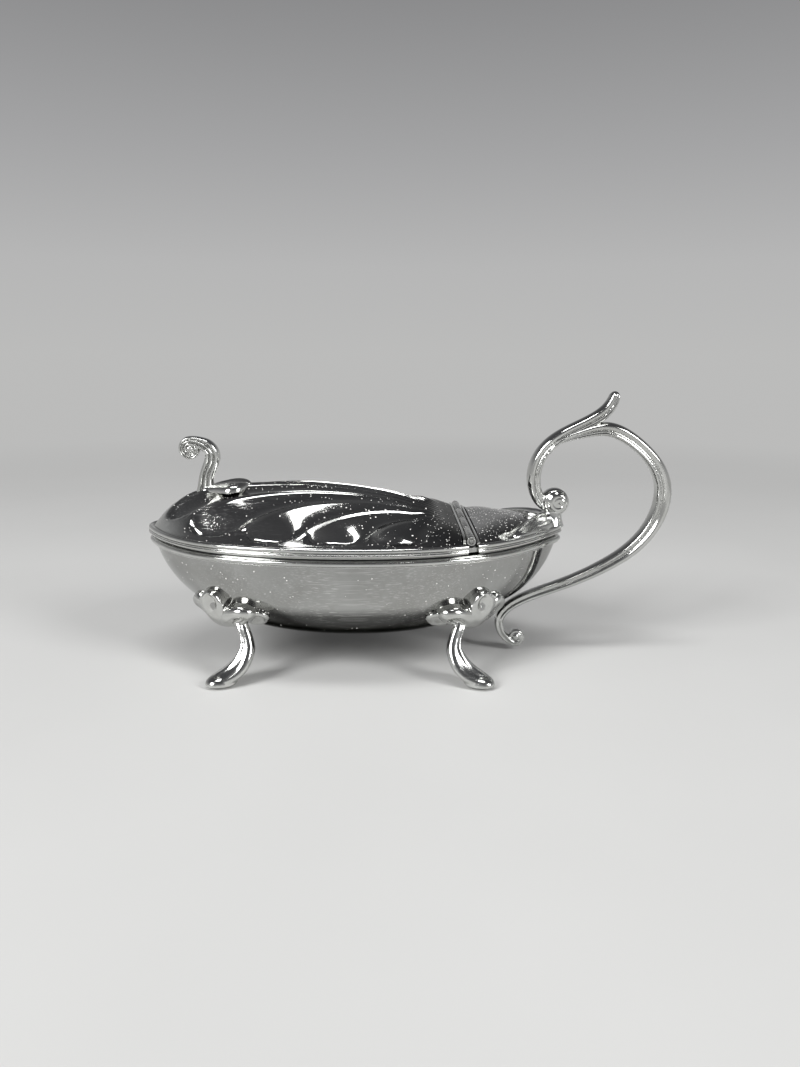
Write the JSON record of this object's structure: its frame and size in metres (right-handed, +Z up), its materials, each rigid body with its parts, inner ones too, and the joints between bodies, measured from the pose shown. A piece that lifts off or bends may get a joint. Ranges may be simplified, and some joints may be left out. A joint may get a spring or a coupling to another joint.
{
  "type": "caviar server",
  "caption": "Footed boat-shaped caviar server in polished silver plate, with a fluted hinged lid, a scroll handle with a finger loop and a glass liner.",
  "frame": {"origin": "on the table, under the middle of the whole length and width", "axes": "+X from the front tip of the bowl to the handle, +Y away from the side that the picture shows, +Z up"},
  "size_m": [0.198, 0.0862, 0.1009],
  "materials": {
    "silver_sheet": "polished silver plate with fine wear scratches",
    "silver_cast": "polished cast silver plate, slightly darker in the recesses",
    "hinge_silver": "worn satin silver plate",
    "liner_glass": "clear polished glass"
  },
  "bodies": {
    "server": {"bowl": "silver_sheet", "bowl_rim_wire": "silver_sheet", "rear_deck": "silver_sheet", "deck_moulding": "silver_sheet", "deck_hinge_rail": "hinge_silver", "hinge_pin": "hinge_silver", "handle_upper_scroll": "silver_cast", "handle_loop": "silver_cast", "handle_root_leaf": "silver_cast", "foot_front_near": "silver_cast", "foot_front_far": "silver_cast", "foot_rear_near": "silver_cast", "foot_rear_far": "silver_cast", "glass_liner": "liner_glass", "hinge_knuckle_deck_2": "hinge_silver", "hinge_knuckle_deck_4": "hinge_silver"},
    "lid": {"lid_shell": "silver_sheet", "lid_moulding": "silver_sheet", "lid_hinge_rail": "hinge_silver", "hinge_knuckle_lid_1": "hinge_silver", "hinge_knuckle_lid_3": "hinge_silver", "finial_leaf": "silver_cast", "finial_scroll": "silver_cast"}
  },
  "joints": [
    {"name": "lid_hinge", "type": "hinge", "parent": "server", "child": "lid", "pos_m": [0.01949, 0, 0.0516], "axis": [0, 1, 0], "range_deg": [0, 100]}
  ]
}
